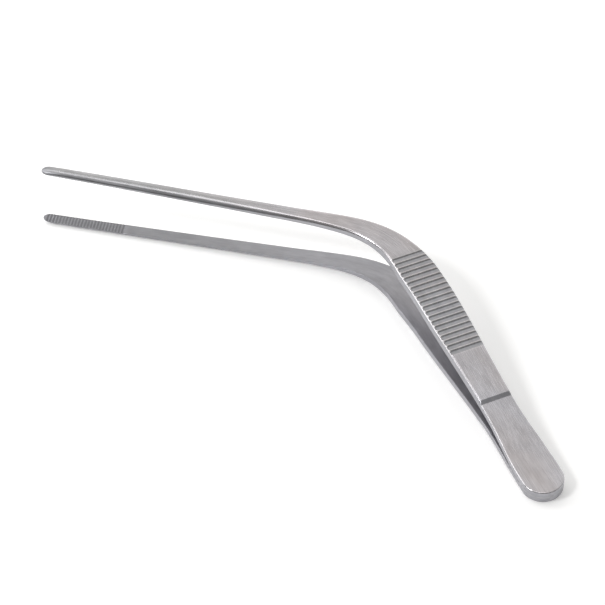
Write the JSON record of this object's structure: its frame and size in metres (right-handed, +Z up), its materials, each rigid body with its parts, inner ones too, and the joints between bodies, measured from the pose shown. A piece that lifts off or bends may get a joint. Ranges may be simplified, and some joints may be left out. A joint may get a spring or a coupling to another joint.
{
  "type": "aquascaping tweezers",
  "caption": "Knee-bent steel tweezers for planting and trimming in an aquarium: two sprung leaves welded at the butt, with grooved grips and fine-toothed jaws.",
  "frame": {"origin": "centre of the bottom of the box of the open tweezers, lying on the lower leaf", "axes": "+X from the butt towards the jaws along the handle, +Y towards the side that the shanks bend to, +Z up off the surface that they lie on"},
  "size_m": [0.143, 0.0792, 0.0193],
  "materials": {
    "satin_steel": "fine satin brushed along the leaf, softly polished edges",
    "ground_weld": "weld metal ground flush and brushed"
  },
  "bodies": {
    "butt": {"upper_butt_plate": "satin_steel", "lower_butt_plate": "satin_steel", "butt_weld": "ground_weld"},
    "upper_leaf": {"upper_arm": "satin_steel"},
    "lower_leaf": {"lower_arm": "satin_steel"}
  },
  "joints": [
    {"name": "upper_leaf_squeeze", "type": "hinge", "parent": "butt", "child": "upper_leaf", "pos_m": [-0.05049, -0.03429, 0.00417], "axis": [0.0028, 0.9993, -0.0364], "range_deg": [0, 4], "stiffness_Nm_per_rad": 5},
    {"name": "lower_leaf_squeeze", "type": "hinge", "parent": "butt", "child": "lower_leaf", "pos_m": [-0.05036, -0.03435, 0.00244], "axis": [-0.0028, -0.9993, 0.0364], "range_deg": [0, 4], "stiffness_Nm_per_rad": 5}
  ],
  "couplings": [
    {"joint": "lower_leaf_squeeze", "follows": "upper_leaf_squeeze", "ratio": 1}
  ]
}
